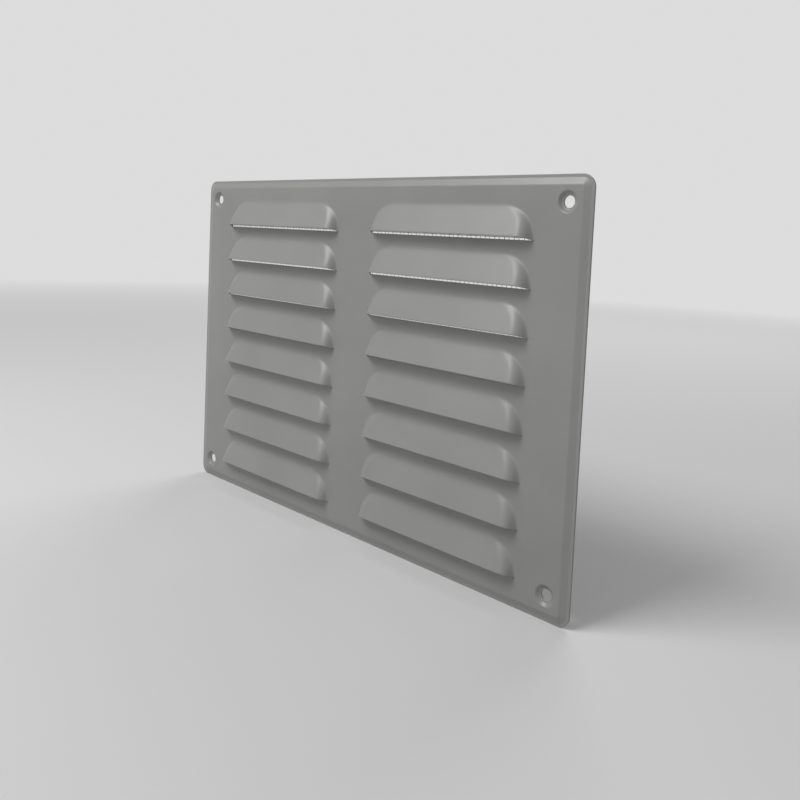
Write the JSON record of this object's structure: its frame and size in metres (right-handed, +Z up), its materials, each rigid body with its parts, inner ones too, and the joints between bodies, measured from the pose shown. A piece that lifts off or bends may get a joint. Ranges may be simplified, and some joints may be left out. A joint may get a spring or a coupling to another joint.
{
  "type": "louvred vent panel",
  "caption": "Pressed sheet-metal wall vent with rows of hooded louvres that open downwards, a bent-back border, screw holes near its corners and an insect screen behind.",
  "frame": {"origin": "on the wall plane that the flange and the dimples touch, midway between the four screw holes", "axes": "+X to the right seen from the front, +Z up, the louvred face looks along -Y and the wall is on the +Y side"},
  "size_m": [0.24, 0.0068, 0.165],
  "materials": {
    "painted_sheet": "satin grey powder coat",
    "screen_wire": "drawn wire, plain weave",
    "adhesive": "set adhesive, dull"
  },
  "bodies": {
    "root": {"louvre_plate": "painted_sheet", "insect_screen": "screen_wire", "screen_bonds": "adhesive"}
  },
  "joints": []
}
